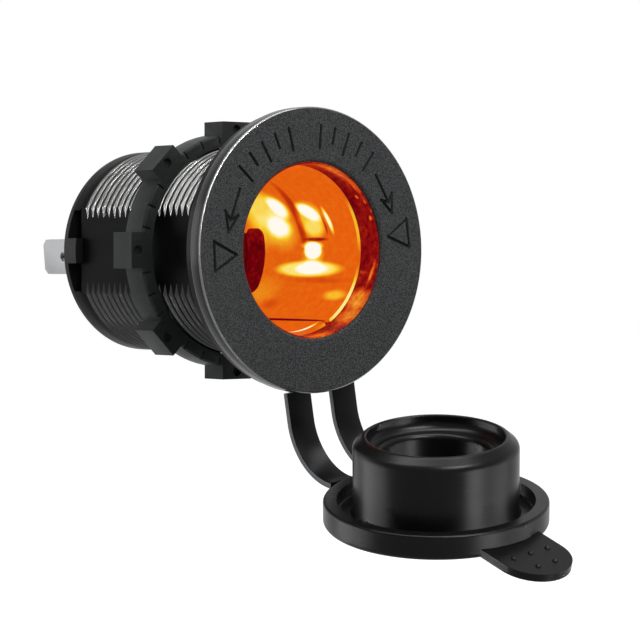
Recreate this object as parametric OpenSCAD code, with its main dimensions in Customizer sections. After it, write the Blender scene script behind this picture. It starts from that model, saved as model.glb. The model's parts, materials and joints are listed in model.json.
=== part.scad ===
// Round panel socket with a threaded barrel, a ring nut and a rubber cap on two
// straps, drawn with the cap hanging open. All sizes are in millimetres.
// The socket's axis lies along Y, with its face towards -Y and its terminals
// towards +Y. The origin is the centre of the panel hole, in the plane of the
// panel's front face. Pieces on the axis are drawn upright, with their depth from
// the face as height, and along_axis() lays them down.

/* [Face] */
// Diameter of the face
face_d = 37; // [35:0.5:42]
// Thickness of the flange
flange_t = 1.9; // [1.4:0.1:3]
// Bevel round the front of the flange
face_bevel = 0.2; // [0.1:0.05:0.9]
// Bevel round the mouth
mouth_bevel = 0.3; // [0.1:0.05:0.5]
// Thickness of the lip that holds the light sleeve
lip_t = 0.6; // [0.5:0.1:1.2]
// How far the lip reaches in over the light sleeve
lip_reach = 0.3; // [0.1:0.05:0.4]

/* [Socket] */
// Inner diameter of the metal shell
shell_id = 21.4; // [20.8:0.1:22]
// Sheet thickness of the shell
shell_wall = 0.4; // [0.3:0.05:0.6]
// Depth of the shell's front edge behind the face
shell_depth = 4; // [2:0.5:6]
// Length of the shell
shell_len = 26; // [22:0.5:34]
// Inside radius at the bottom of the shell
shell_bend = 1; // [0.6:0.1:1.5]
// Width of the shell's seam
seam_w = 0.25; // [0.1:0.05:0.5]
// Angle of the seam, from the right and downwards
seam_angle = 60; // [30:5:80]
// Diameter of the hole in the shell's floor
floor_hole_d = 13; // [11:0.5:14]
// Length of the window in the shell
window_len = 4.5; // [3:0.5:8]
// Height of the window in the shell
window_h = 9; // [6:0.5:10]
// How far the middle of the window lies below the axis
window_drop = 1.35; // [0:0.05:2]
// Wall of the light sleeve
sleeve_wall = 0.5; // [0.4:0.05:0.8]
// Clearance between shell, sleeve and barrel
slip_gap = 0.1; // [0.05:0.05:0.2]

/* [Barrel] */
// Wall of the barrel from its bore to the thread's crests
barrel_wall = 1.95; // [1.7:0.05:2.6]
// Wall left under the two flats
flat_wall = 0.65; // [0.5:0.05:0.9]
// Pitch of the thread
thread_pitch = 1.28; // [1.15:0.01:1.6]
// Depth of the thread
thread_depth = 0.7; // [0.4:0.05:0.8]
// Plain collar behind the thread
collar_len = 2.2; // [2:0.1:4]
// Length of the notches in the collar
notch_len = 1.5; // [1:0.1:2]

/* [Ring nut] */
// Depth of the nut's front behind the face
nut_depth = 16.5; // [5:0.5:28]
// Thickness of the nut
nut_t = 4.1; // [3:0.1:6]
// Wall of the nut's ring
nut_wall = 1.7; // [1.4:0.1:3]
// Clearance of the nut over the thread's crests
nut_gap = 0.15; // [0.1:0.05:0.3]
// Number of lugs
lug_count = 8; // [4:1:10]
// Width of a lug
lug_w = 4.75; // [3:0.25:6]
// Height of a lug above the ring
lug_h = 1.6; // [1:0.1:2.5]
// Grip marks between two lugs
marks_between = 3; // [1:1:4]

/* [Terminals] */
// Width of a blade
blade_w = 4.8; // [4:0.1:6.3]
// Thickness of a blade
blade_t = 0.8; // [0.5:0.1:1]
// Reach of the blades behind the cover
blade_reach = 10.1; // [7:0.1:14]
// Distance of the negative blade from the axis
negative_offset = 10; // [9.4:0.1:10.2]
// Distance of the positive blade from the axis
positive_offset = 3.6; // [3.2:0.1:5]
// Turn of the terminals about the axis
terminal_turn = -4.5; // [-10:0.5:10]
// Thickness of the base insulator
insulator_t = 2; // [1.5:0.1:3]
// Space between the insulator and the rear cover
chamber_len = 4.6; // [4.4:0.1:7]
// Thickness of the rear cover
cover_t = 0.8; // [0.6:0.1:1.5]
// Width of the rear cover's hooks
hook_w = 3.4; // [2:0.2:5]

/* [Rubber moulding] */
// Thickness of the sealing ring
ring_t = 1.2; // [0.8:0.1:2]
// How far the sealing ring stays inside the flange
ring_inset = 0.3; // [0.1:0.1:1]
// Clearance of the sealing ring over the thread's crests
ring_gap = 0.2; // [0.1:0.05:0.5]
// Turn of the moulding about the axis
moulding_turn = 9.3; // [0:0.1:20]
// Width of a strap
strap_w = 3.95; // [2.5:0.05:5]
// Gap between the straps
strap_gap = 3.5; // [2:0.1:6]
// Thickness of a strap
strap_t = 0.85; // [0.5:0.05:1.2]
// Straight part of the straps below the flange
strap_drop = 3.3; // [1:0.1:8]
// Bend radius of the straps
strap_bend = 7.9; // [5:0.1:12]
// Forward lean of the open cap
cap_lean = 10.2; // [0:0.1:30]

/* [Cap] */
// Diameter of the cap
cap_d = 28.4; // [26:0.2:32]
// Height of the cap's rim
cap_h = 3.2; // [2.6:0.1:4.5]
// Width of the rim
rim_w = 1.7; // [1:0.1:2]
// Depth of the groove inside the rim
groove_depth = 1.8; // [1:0.1:2]
// Clearance of the plug in the shell
plug_gap = 0.25; // [0.1:0.05:0.5]
// Height of the plug above the rim
plug_h = 8.3; // [6:0.1:12]
// Outer rounding of the plug's lip
lip_round = 1.2; // [0.6:0.1:1.4]
// Slope of the plug's lip, down and outwards from its inner edge
lip_slope = 40; // [30:1:50]
// Wall of the plug at its lip
plug_wall = 1.75; // [1.7:0.05:2.5]
// Depth of the wide part of the hollow
cup_step = 2; // [1.7:0.1:4]
// Width of the step in the hollow
step_w = 1.9; // [1:0.1:2.5]
// Floor of the hollow
cup_floor = 1.6; // [1:0.1:2.2]
// Width of the pull tab
tab_w = 9.8; // [7:0.1:12]
// Reach of the pull tab beyond the cap
tab_reach = 8; // [7.5:0.1:11]
// Thickness of the pull tab
tab_t = 1; // [0.7:0.1:1.5]
// Droop of the pull tab
tab_droop = 11.3; // [0:0.1:20]
// Spacing of the grip bumps
bump_pitch = 2.83; // [2:0.01:3]

/* [Hidden] */
$fn = 96;

// Extra length, so that cuts pass through
cut = 0.5;
// Overlap where a fillet meets what it fills
hair = 0.01;
// Gap where the rubber pieces meet
joint_gap = 0.02;

// Radii from the bore outwards
shell_r = shell_id / 2;
shell_or = shell_r + shell_wall;
sleeve_ir = shell_or + slip_gap;
sleeve_or = sleeve_ir + sleeve_wall;
bore_r = sleeve_or + slip_gap;
mouth_r = sleeve_or - lip_reach;
barrel_r = bore_r + barrel_wall;
root_r = barrel_r - thread_depth;
flat_x = bore_r + flat_wall;
flat_half = sqrt(barrel_r * barrel_r - flat_x * flat_x);
notch_shoulder = 0.3;
notch_half = flat_half - notch_shoulder;
face_r = face_d / 2;
ring_r = face_r - ring_inset;

// Depths from the face
seat_depth = flange_t + ring_t;
shell_end = shell_depth + shell_len;
insulator_end = shell_end + insulator_t;
barrel_end = insulator_end + chamber_len;
thread_end = barrel_end - collar_len;
cover_end = barrel_end + cover_t;
blade_end = cover_end + blade_reach;
sleeve_end = insulator_end + chamber_len / 2;
notch_depth = barrel_end - notch_len;
// The rear cover's posts, ring and hooks run half-way into its disc
cover_seat = barrel_end + cover_t / 2;
cover_ring_w = 1.1;
cover_ring_ir = sleeve_or - cover_ring_w;

// Thread: 60 degree grooves with a narrow flat at the root
root_flat = 0.1;
flank = thread_depth * tan(30);
thread_turns = floor((thread_end - seat_depth) / thread_pitch);

// Ring nut
nut_bore_r = barrel_r + nut_gap;
nut_r = nut_bore_r + nut_wall;
lug_r = nut_r + lug_h;
nut_bevel = 0.25;
lug_hole_r = 0.65;
lug_hole_depth = 0.6;
mark_len = 1.2;
mark_w = 0.22;
mark_depth = 0.3;

// Rivets and contact
floor_hole_r = floor_hole_d / 2;
boss_r = floor_hole_r - slip_gap;
shank_r = 1.2;
shank_gap = 0.05;
contact_r = 4.6;
contact_t = 0.4;
dome_r = 2.6;
dome_h = 0.6;
tail_r = 2;
tail_t = 0.5;
small_shank_r = 0.9;
small_head_r = 1.45;
small_head_x = (floor_hole_r + shell_r - shell_bend) / 2;

// Terminals
foot_margin = 0.4;
foot_bend = 0.8;
tip_bevel = 0.7;
blade_hole_r = 0.6;
blade_hole_back = 4.7;
slot_gap = 0.15;

// Lamp: a 3 mm light-emitting diode that shines into the sleeve
lamp_r = 1.5;
lamp_gap = 0.05;
lamp_flange_r = 1.75;
lamp_flange_t = 0.9;
lamp_depth = insulator_end + chamber_len / 2;
lamp_clear = 0.1;
lamp_tip = cover_ring_ir - lamp_clear;
lamp_base = 5.2;
holder_w = 4.6;
holder_top = 8.8;
leg_r = 0.25;
leg_x = 0.9;
leg_low = 2;
resistor_r = 0.8;
resistor_len = 3.2;
resistor_x = 3.2;
resistor_up = 3.3;
joint_x = 2;

// Rubber moulding
strap_y = -strap_t / 2;
bend_top = face_r + strap_drop;
bend_angle = 90 - cap_lean;
cap_r = cap_d / 2;
rim_ir = cap_r - rim_w;
plug_r = shell_r - plug_gap;
cup_r = plug_r - plug_wall;
cup_low_r = cup_r - step_w;
strap_inset = 0.1;
strap_sink = strap_t / 2 + strap_inset;
// Where the straps meet the cap's side, and the cap's centre from there
strap_tip = [strap_y - strap_bend * (1 - sin(cap_lean)), -bend_top - strap_bend * cos(cap_lean)];
cap_at = strap_tip - cap_r * [cos(cap_lean), sin(cap_lean)] + strap_sink * [-sin(cap_lean), cos(cap_lean)];
tab_r = tab_w / 2;
tab_centre = cap_r + tab_reach - tab_r;
tab_sink = 1;
tab_foot = 1.2;
tab_root = cap_r - tab_foot;
tab_rise = 0.5;
tab_level = tab_rise - cap_h;
bump_start = 2.8;
tab_pivot = cap_r + bump_start;
bump_r = 0.42;

module along_axis() {
    translate([0, -seat_depth, 0]) rotate([-90, 0, 0]) children();
}

module tube(outer_r, inner_r, from, to) {
    translate([0, 0, from]) difference() {
        cylinder(h = to - from, r = outer_r);
        translate([0, 0, -cut]) cylinder(h = to - from + 2 * cut, r = inner_r);
    }
}

module rod(radius, from, to) {
    translate([0, 0, from]) cylinder(h = to - from, r = radius);
}

// Box from one corner to the opposite one
module block(low, high) {
    translate(low) cube(high - low);
}

// Half section of a round bar, from the axis to radius r, with a rounded outer top
// and bottom edge
module half_bar(r, low, high, top_round, bottom_round) {
    difference() {
        translate([0, low]) square([r, high - low]);
        corner_cut([r, high], top_round, 0);
        corner_cut([r, low], bottom_round, 270);
    }
}

// What a rounding takes off a corner that points along turn and turn + 90
module corner_cut(at, round_r, turn) {
    if (round_r > 0) translate(at) rotate(turn) translate([-round_r, -round_r]) difference() {
        square(round_r + cut);
        circle(r = round_r, $fn = 48);
    }
}

// Points of an arc, from one angle to another
function arc(centre, r, from, to) =
    [for (i = [0 : 8]) centre + r * [cos(from + (to - from) * i / 8), sin(from + (to - from) * i / 8)]];

function thread_groove(start) = [
    [barrel_r, start],
    [root_r, start + flank],
    [root_r, start + flank + root_flat],
    [barrel_r, start + 2 * flank + root_flat]
];

function barrel_profile() = concat(
    [[mouth_r + mouth_bevel, 0], [face_r - face_bevel, 0], [face_r, face_bevel], [face_r, flange_t]],
    [[barrel_r, flange_t]],
    [for (i = [0 : thread_turns - 1]) each thread_groove(thread_end - (thread_turns - i) * thread_pitch)],
    [[barrel_r, barrel_end], [bore_r, barrel_end], [bore_r, lip_t], [mouth_r, lip_t]],
    [[mouth_r, mouth_bevel]]
);

module housing() color("#2b2b2d") along_axis() difference() {
    rotate_extrude() polygon(barrel_profile());
    for (turn = [0, 180]) rotate(turn)
        block([flat_x, -face_r, seat_depth], [face_r, face_r, notch_depth]);
    block([-face_r, -notch_half, notch_depth], [face_r, notch_half, barrel_end + cut]);
}

module light_sleeve() color("#c8460c") along_axis() tube(sleeve_or, sleeve_ir, lip_t, sleeve_end);

module shell_section() {
    outer_bend = shell_bend + shell_wall;
    difference() {
        half_bar(shell_or, shell_depth, shell_end, outer_bend, 0);
        translate([0, -shell_wall]) half_bar(shell_r, shell_depth - cut, shell_end, shell_bend, 0);
        translate([-cut, 0]) square([floor_hole_r + cut, shell_end + cut]);
    }
}

module shell() color("#d8d2c8") along_axis() difference() {
    rotate_extrude() shell_section();
    rotate(seam_angle) seam_cut();
    window_cut();
    rotate(terminal_turn) translate([-small_head_x, 0, 0])
        rod(small_shank_r + shank_gap, shell_end - shell_wall - cut, shell_end + cut);
}

module seam_cut() {
    notch_w = 1;
    notch_l = 1.3;
    block([0, -seam_w / 2, shell_depth - cut], [shell_or + cut, seam_w / 2, shell_end - shell_wall]);
    rotate([90, 0, 90]) linear_extrude(shell_or + cut)
        polygon([[-notch_w / 2, shell_depth - cut], [notch_w / 2, shell_depth - cut],
            [notch_w / 2, shell_depth], [0, shell_depth + notch_l], [-notch_w / 2, shell_depth]]);
}

module window_cut() {
    window_end = shell_end - shell_wall - shell_bend;
    corner_r = 1.2;
    translate([0, window_drop, 0]) rotate([90, 0, 90]) linear_extrude(shell_or + cut)
        rounded_box([-window_h / 2, window_end - window_len], [window_h / 2, window_end], corner_r);
}

module rounded_box(low, high, round_r) {
    difference() {
        translate(low) square(high - low);
        corner_cut(high, round_r, 0);
        corner_cut([low[0], high[1]], round_r, 90);
        corner_cut(low, round_r, 180);
        corner_cut([high[0], low[1]], round_r, 270);
    }
}

// The pieces round the terminals are built straight and turned together
module rear_unit() {
    along_axis() rotate(terminal_turn) children();
}

module base_insulator() color("#3a2f28") rear_unit() difference() {
    union() {
        rod(sleeve_ir - slip_gap, shell_end, insulator_end);
        rod(boss_r, shell_end - shell_wall, shell_end);
    }
    rod(shank_r + shank_gap, shell_end - cut - shell_wall, insulator_end + cut);
    translate([-small_head_x, 0, 0]) rod(small_shank_r + shank_gap, shell_end - cut, insulator_end + cut);
}

module centre_contact() color("#c9a24b") rear_unit()
    tube(contact_r, shank_r + shank_gap, shell_end - shell_wall - contact_t, shell_end - shell_wall);

module contact_rivet() color("#d9c48a") rear_unit() {
    head = shell_end - shell_wall - contact_t;
    sphere_r = (dome_r * dome_r + dome_h * dome_h) / (2 * dome_h);
    rod(shank_r, head, insulator_end + blade_t);
    rod(tail_r, insulator_end + blade_t, insulator_end + blade_t + tail_t);
    intersection() {
        translate([0, 0, head - dome_h + sphere_r]) sphere(sphere_r);
        rod(dome_r, head - dome_h, head);
    }
}

module negative_rivet() color("#c8c8c4") rear_unit() translate([-small_head_x, 0, 0]) {
    head = shell_end - shell_wall;
    tail = insulator_end + blade_t;
    rod(small_head_r, head - tail_t, head);
    rod(small_shank_r, head, tail);
    rod(small_head_r, tail, tail + tail_t);
}

// A terminal: a foot along X from foot_x with a rivet hole, bent back into a blade
// whose middle lies at blade_x
module terminal(foot_x, blade_x, hole_x, hole_r) {
    outer = blade_x + blade_t / 2;
    difference() {
        rotate([90, 0, 0]) linear_extrude(blade_w, center = true) difference() {
            union() {
                translate([foot_x, insulator_end]) square([outer - foot_x, blade_t]);
                translate([outer - blade_t, insulator_end]) square([blade_t, blade_end - insulator_end]);
            }
            corner_cut([outer, insulator_end], foot_bend, 270);
        }
        translate([hole_x, 0, 0]) rod(hole_r, insulator_end - cut, insulator_end + blade_t + cut);
        translate([blade_x, 0, blade_end - blade_hole_back]) rotate([0, 90, 0])
            cylinder(h = blade_t + cut, r = blade_hole_r, center = true);
        for (side = [-1, 1]) translate([blade_x, side * blade_w / 2, blade_end]) rotate([45, 0, 0])
            cube([blade_t + cut, tip_bevel * sqrt(2), tip_bevel * sqrt(2)], center = true);
    }
}

module positive_terminal() color("#c4c6c8") rear_unit()
    terminal(-blade_w / 2, positive_offset, 0, shank_r + shank_gap);

module negative_terminal() color("#c4c6c8") rear_unit() mirror([1, 0, 0])
    terminal(small_head_x - small_head_r - foot_margin, negative_offset, small_head_x,
        small_shank_r + shank_gap);

// Pieces above the axis stand at negative Y in the upright frame
module above_axis() {
    rear_unit() translate([0, 0, lamp_depth]) rotate([90, 0, 0]) children();
}

module lamp_holder() color("#e6e2d6") above_axis() difference() {
    half = chamber_len / 2 - slip_gap;
    block([-holder_w / 2, -half - slip_gap, lamp_base], [holder_w / 2, half, holder_top]);
    rod(lamp_r + lamp_gap, lamp_base - cut, holder_top + cut);
}

// A straight stretch of wire with round ends
module wire(from, to) {
    run = to - from;
    length = norm(run);
    translate(from) rotate([0, acos(run[2] / length), atan2(run[1], run[0])])
        cylinder(h = length, r = leg_r, $fn = 24);
}

module bend_at(at) {
    translate(at) sphere(leg_r, $fn = 24);
}

module lamp() color("#e8851c") above_axis() {
    foot_y = insulator_end + blade_t - lamp_depth;
    rod(lamp_r, lamp_base, lamp_tip - lamp_r);
    translate([0, 0, lamp_tip - lamp_r]) sphere(lamp_r);
    rod(lamp_flange_r, lamp_base - lamp_flange_t, lamp_base);
    wire([leg_x, 0, lamp_base - lamp_flange_t], [leg_x, 0, leg_low]);
    bend_at([leg_x, 0, leg_low]);
    wire([leg_x, 0, leg_low], [leg_x, foot_y, leg_low]);
    wire([-leg_x, 0, lamp_base - lamp_flange_t], [-leg_x, 0, resistor_up]);
    bend_at([-leg_x, 0, resistor_up]);
    wire([-leg_x, 0, resistor_up], [-joint_x, 0, resistor_up]);
}

module resistor() color("#8fb4c0") above_axis() {
    end = -resistor_x - resistor_len;
    foot_y = insulator_end + blade_t - lamp_depth;
    translate([-resistor_x, 0, resistor_up]) rotate([0, -90, 0]) cylinder(h = resistor_len, r = resistor_r);
    wire([-joint_x, 0, resistor_up], [-resistor_x, 0, resistor_up]);
    wire([end, 0, resistor_up], [-small_head_x, 0, resistor_up]);
    bend_at([-small_head_x, 0, resistor_up]);
    wire([-small_head_x, 0, resistor_up], [-small_head_x, 0, leg_low]);
    bend_at([-small_head_x, 0, leg_low]);
    wire([-small_head_x, 0, leg_low], [-small_head_x, foot_y, leg_low]);
}

module rear_cover() color("#242426") along_axis() {
    hook_start = notch_depth - notch_len / 3;
    difference() {
        union() {
            rod(barrel_r, barrel_end, cover_end);
            rotate(terminal_turn) cover_posts();
            tube(sleeve_or, cover_ring_ir, sleeve_end, cover_seat);
        }
        rotate(terminal_turn) {
            blade_slot(positive_offset);
            blade_slot(-negative_offset);
        }
    }
    for (turn = [0, 180]) rotate(turn) intersection() {
        rod(barrel_r, hook_start, cover_seat);
        block([flat_x + slip_gap, -hook_w / 2, hook_start], [barrel_r, hook_w / 2, cover_seat]);
    }
}

// Four posts that press the insulator forwards
module cover_posts() {
    post_w = 1.4;
    difference() {
        tube(sleeve_ir - slip_gap, sleeve_ir - slip_gap - post_w, insulator_end, cover_seat);
        block([-sleeve_or, -blade_w, insulator_end - cut], [sleeve_or, blade_w, barrel_end]);
        block([-holder_w, -sleeve_or, insulator_end - cut], [holder_w, sleeve_or, barrel_end]);
    }
}

module blade_slot(at) {
    block([at - blade_t / 2 - slot_gap, -blade_w / 2 - slot_gap, insulator_end - cut],
        [at + blade_t / 2 + slot_gap, blade_w / 2 + slot_gap, cover_end + cut]);
}

module panel_nut() color("#3d4041") along_axis() translate([0, 0, nut_depth]) difference() {
    union() {
        rotate_extrude() polygon([[nut_bore_r, 0], [nut_r - nut_bevel, 0], [nut_r, nut_bevel],
            [nut_r, nut_t - nut_bevel], [nut_r - nut_bevel, nut_t], [nut_bore_r, nut_t]]);
        for (i = [0 : lug_count - 1]) rotate(i * 360 / lug_count)
            block([nut_r - lug_h / 2, -lug_w / 2, 0], [lug_r, lug_w / 2, nut_t]);
    }
    for (i = [0 : lug_count - 1]) rotate(i * 360 / lug_count) {
        translate([nut_r + lug_h / 3, 0, -cut]) cylinder(h = lug_hole_depth + cut, r = lug_hole_r, $fn = 32);
        for (k = [1 : marks_between]) rotate(k * 360 / lug_count / (marks_between + 1))
            block([nut_r - mark_len, -mark_w / 2, -cut], [nut_r + cut, mark_w / 2, mark_depth]);
    }
}

module sealing_ring() color("#1b1b1c") along_axis()
    tube(ring_r, barrel_r + ring_gap, flange_t, seat_depth);

// Turns the straps and the cap about the socket's axis
module moulding() {
    rotate([0, -moulding_turn, 0]) children();
}

// Side view of a strap: down from the sealing ring, round the bend and on into the
// cap's side
module strap_side() {
    far = 2 * strap_bend;
    translate([-strap_t, -bend_top]) square([strap_t, bend_top - ring_r + rim_w]);
    translate([strap_y - strap_bend, -bend_top]) intersection() {
        difference() {
            circle(strap_bend + strap_t / 2);
            circle(strap_bend - strap_t / 2);
        }
        polygon([[0, 0], [far, 0], [far, -far], far * [cos(bend_angle), -sin(bend_angle)]]);
    }
    translate(strap_tip) rotate(cap_lean) translate([-rim_w, -strap_t / 2]) square([rim_w, strap_t]);
}

module strap(side) {
    low_x = side > 0 ? strap_gap / 2 : -strap_gap / 2 - strap_w;
    moulding() difference() {
        translate([low_x, 0, 0]) rotate([90, 0, 90]) linear_extrude(strap_w) strap_side();
        rotate([-90, 0, 0]) cylinder(h = 4 * ring_t, r = ring_r + joint_gap, center = true);
        in_cap_frame() rod(cap_r + joint_gap, -cap_h - cut, plug_h);
    }
}

module strap_left() color("#202021") strap(-1);

module strap_right() color("#202021") strap(1);

// Upright frame of the open cap: plug upwards, straps at +Y, pull tab at -Y
module in_cap_frame() {
    translate([0, cap_at[0], cap_at[1]]) rotate([cap_lean, 0, 0]) children();
}

// What the sloping lip takes off the plug's top corner
module lip_cut(edge_round) {
    crest_round = 0.6;
    turn = 90 - lip_slope;
    crest = [cup_r + edge_round, plug_h - crest_round];
    run = plug_r - lip_round * (1 - cos(turn)) - crest[0] - crest_round * cos(turn);
    fall = run * tan(lip_slope) + (lip_round - crest_round) * sin(turn);
    low = [plug_r - lip_round, crest[1] - fall];
    polygon(concat([[crest[0], plug_h + cut]], arc(crest, crest_round, 90, turn), arc(low, lip_round, turn, 0),
        [[plug_r + cut, low[1]], [plug_r + cut, plug_h + cut]]));
}

module cap_section() {
    rim_round = 0.3;
    foot_round = 0.7;
    edge_round = 0.2;
    step_round = 0.62 * step_w;
    shoulder_round = 0.36 * step_w;
    difference() {
        union() {
            half_bar(cap_r, -cap_h, 0, rim_round, foot_round);
            half_bar(plug_r, -cap_h, plug_h, 0, foot_round);
        }
        lip_cut(edge_round);
        difference() {
            translate([plug_r, -groove_depth]) square([rim_ir - plug_r, groove_depth + cut]);
            corner_fill([plug_r, -groove_depth], rim_round, 180);
            corner_fill([rim_ir, -groove_depth], rim_round, 270);
        }
        translate([-cut, -cap_h + cup_floor]) square([cup_low_r + cut, plug_h + cap_h]);
        difference() {
            translate([-cut, plug_h - cup_step]) square([cup_r + cut, cup_step + cut]);
            corner_fill([cup_r, plug_h - cup_step], step_round, 270);
        }
        corner_cut([cup_r, plug_h], edge_round, 90);
        corner_cut([cup_low_r, plug_h - cup_step], shoulder_round, 90);
    }
}

// What stays in a rounded inner corner that points along turn and turn + 90
module corner_fill(at, round_r, turn) {
    translate(at) rotate(turn) translate([-round_r, -round_r]) difference() {
        square(round_r + hair);
        circle(r = round_r, $fn = 48);
    }
}

module pull_tab() {
    translate([0, -tab_pivot, tab_level]) rotate([tab_droop, 0, 0]) translate([0, tab_pivot, 0]) {
        translate([0, 0, -tab_t]) linear_extrude(tab_t) {
            translate([0, -tab_centre]) circle(tab_r);
            translate([-tab_r, -tab_centre]) square([tab_w, tab_centre - tab_root]);
        }
        for (row = [0, 1], i = [0 : 2 - row])
            translate([(i - 1 + row / 2) * bump_pitch, -tab_pivot - row * bump_pitch, -bump_r / 3])
                sphere(bump_r, $fn = 24);
    }
}

module cap() color("#1c1c1d") moulding() in_cap_frame() {
    rotate_extrude() cap_section();
    difference() {
        pull_tab();
        rod(cap_r - tab_sink, -cap_h, plug_h);
    }
}

housing();
light_sleeve();
shell();
base_insulator();
centre_contact();
contact_rivet();
positive_terminal();
negative_terminal();
negative_rivet();
lamp_holder();
lamp();
resistor();
rear_cover();
panel_nut();
sealing_ring();
strap_left();
strap_right();
cap();
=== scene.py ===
import json
import math

import bmesh
import bpy
from mathutils import Matrix, Vector

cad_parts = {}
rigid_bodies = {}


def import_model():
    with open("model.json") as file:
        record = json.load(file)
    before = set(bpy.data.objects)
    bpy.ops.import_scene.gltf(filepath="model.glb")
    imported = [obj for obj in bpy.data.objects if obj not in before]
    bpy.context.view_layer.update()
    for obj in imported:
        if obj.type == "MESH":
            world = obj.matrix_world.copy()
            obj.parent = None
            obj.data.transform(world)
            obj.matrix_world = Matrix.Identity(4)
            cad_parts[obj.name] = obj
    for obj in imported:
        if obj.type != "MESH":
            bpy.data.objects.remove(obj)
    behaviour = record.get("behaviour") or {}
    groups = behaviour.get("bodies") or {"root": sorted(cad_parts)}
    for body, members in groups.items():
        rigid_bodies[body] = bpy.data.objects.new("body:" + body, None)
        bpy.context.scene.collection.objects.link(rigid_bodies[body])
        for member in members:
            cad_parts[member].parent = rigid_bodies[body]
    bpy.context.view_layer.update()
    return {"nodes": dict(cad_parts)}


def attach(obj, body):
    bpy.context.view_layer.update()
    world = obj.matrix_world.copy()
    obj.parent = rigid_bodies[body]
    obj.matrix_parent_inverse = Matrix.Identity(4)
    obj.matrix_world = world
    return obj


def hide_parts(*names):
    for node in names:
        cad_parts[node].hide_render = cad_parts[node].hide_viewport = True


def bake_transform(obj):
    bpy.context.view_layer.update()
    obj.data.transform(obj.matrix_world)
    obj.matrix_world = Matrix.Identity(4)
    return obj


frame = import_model()
nodes = frame["nodes"]
mm = 0.001
print("frame loaded:", len(nodes), "nodes")


def toLinear(hexColour):
    parts = [int(hexColour[i:i + 2], 16) / 255 for i in (1, 3, 5)]
    return [c / 12.92 if c <= 0.04045 else ((c + 0.055) / 1.055) ** 2.4 for c in parts] + [1.0]


# Adds a node, sets its properties, and fills or links its inputs
def addNode(tree, kind, settings=None, inputs=None):
    node = tree.nodes.new(kind)
    for name, value in (settings or {}).items():
        setattr(node, name, value)
    for key, value in (inputs or {}).items():
        if isinstance(value, bpy.types.NodeSocket):
            tree.links.new(value, node.inputs[key])
        else:
            node.inputs[key].default_value = value
    return node


# The photograph's view: from the left of the face and almost level with it
camera = {
    "place": (-220.12, -275.36, -1.43),  # mm
    "azimuth": -39.07,
    "elevation": 1.24,
    "lens": 152.6,
    "sensor": 36,
    "clip": (0.01, 20),  # m
}


def makeCamera():
    data = bpy.data.cameras.new("camera")
    data.lens = camera["lens"]
    data.sensor_width = camera["sensor"]
    data.clip_start, data.clip_end = camera["clip"]
    cam = bpy.data.objects.new("camera", data)
    bpy.context.scene.collection.objects.link(cam)
    a, e = math.radians(camera["azimuth"]), math.radians(camera["elevation"])
    back = Vector((math.sin(a) * math.cos(e), -math.cos(a) * math.cos(e), math.sin(e)))
    cam.location = Vector(camera["place"]) * mm
    cam.rotation_euler = (-back).to_track_quat("-Z", "Y").to_euler()
    bpy.context.scene.camera = cam


makeCamera()

# The socket's axis is Y, and its face looks along -Y from this place
faceY = -3.1  # mm


# Starts a material: its shader, and the place on the piece that patterns read
def newMaterial(name):
    material = bpy.data.materials.new(name)
    material.use_nodes = True
    tree = material.node_tree
    place = addNode(tree, "ShaderNodeTexCoord").outputs["Object"]
    return material, tree, tree.nodes["Principled BSDF"], place


noiseLow, noiseHigh = 0.36, 0.64  # most of a noise lies between these


# Nylon and rubber: a tone that wanders a little under a grain that is part tone, part relief
def mouldedFinish(name, look):
    material, tree, shader, place = newMaterial(name)
    cloud = addNode(tree, "ShaderNodeTexNoise", inputs={
        "Vector": place, "Scale": 1 / (look["cloud"] * mm), "Detail": 4.0})
    noise = addNode(tree, "ShaderNodeTexNoise", inputs={
        "Vector": place, "Scale": 1 / (look["grain"] * mm),
        "Detail": 2.0, "Roughness": 0.6})
    grain = addNode(tree, "ShaderNodeMapRange", {"interpolation_type": "SMOOTHSTEP"}, {
        "Value": noise.outputs["Fac"], "From Min": noiseLow, "From Max": noiseHigh})
    fine = addNode(tree, "ShaderNodeMix", {"data_type": "FLOAT"}, {
        0: look["grainShare"], 2: cloud.outputs["Fac"], 3: grain.outputs["Result"]})
    tone = addNode(tree, "ShaderNodeMix", {"data_type": "RGBA"}, {
        0: fine.outputs[0], 6: toLinear(look["dark"]), 7: toLinear(look["light"])})
    bump = addNode(tree, "ShaderNodeBump", inputs={
        "Strength": look["strength"], "Distance": look["depth"] * mm,
        "Height": grain.outputs["Result"]})
    gloss = addNode(tree, "ShaderNodeMapRange", inputs={
        "Value": cloud.outputs["Fac"], "From Min": 0.3, "From Max": 0.7,
        "To Min": look["rough"] - look["roughSpread"],
        "To Max": look["rough"] + look["roughSpread"]})
    tree.links.new(tone.outputs[2], shader.inputs["Base Color"])
    tree.links.new(gloss.outputs["Result"], shader.inputs["Roughness"])
    tree.links.new(bump.outputs["Normal"], shader.inputs["Normal"])
    shader.inputs["Specular IOR Level"].default_value = look["specular"]
    return material


# Glass-filled nylon from a spark-eroded mould: dark grey with a dry, even grain
grainedNylon = mouldedFinish("grained nylon", {
    "dark": "#1d1e1f", "light": "#565758", "cloud": 0.7, "grain": 0.17, "grainShare": 0.7,
    "strength": 0.9, "depth": 0.06, "rough": 0.5, "roughSpread": 0.05, "specular": 0.06})
# The same nylon where the tool was turned and polished: the thread's flanks shine
threadNylon = mouldedFinish("thread nylon", {
    "dark": "#1d1e1e", "light": "#262727", "cloud": 3.0, "grain": 0.5, "grainShare": 0.2,
    "strength": 0.06, "depth": 0.01, "rough": 0.16, "roughSpread": 0.03, "specular": 0.3})
# The side of the flange, plain from the mould and a little duller than the thread
sideNylon = mouldedFinish("side nylon", {
    "dark": "#151516", "light": "#1d1e1e", "cloud": 3.0, "grain": 0.5, "grainShare": 0.2,
    "strength": 0.06, "depth": 0.01, "rough": 0.26, "roughSpread": 0.03, "specular": 0.14})
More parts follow.
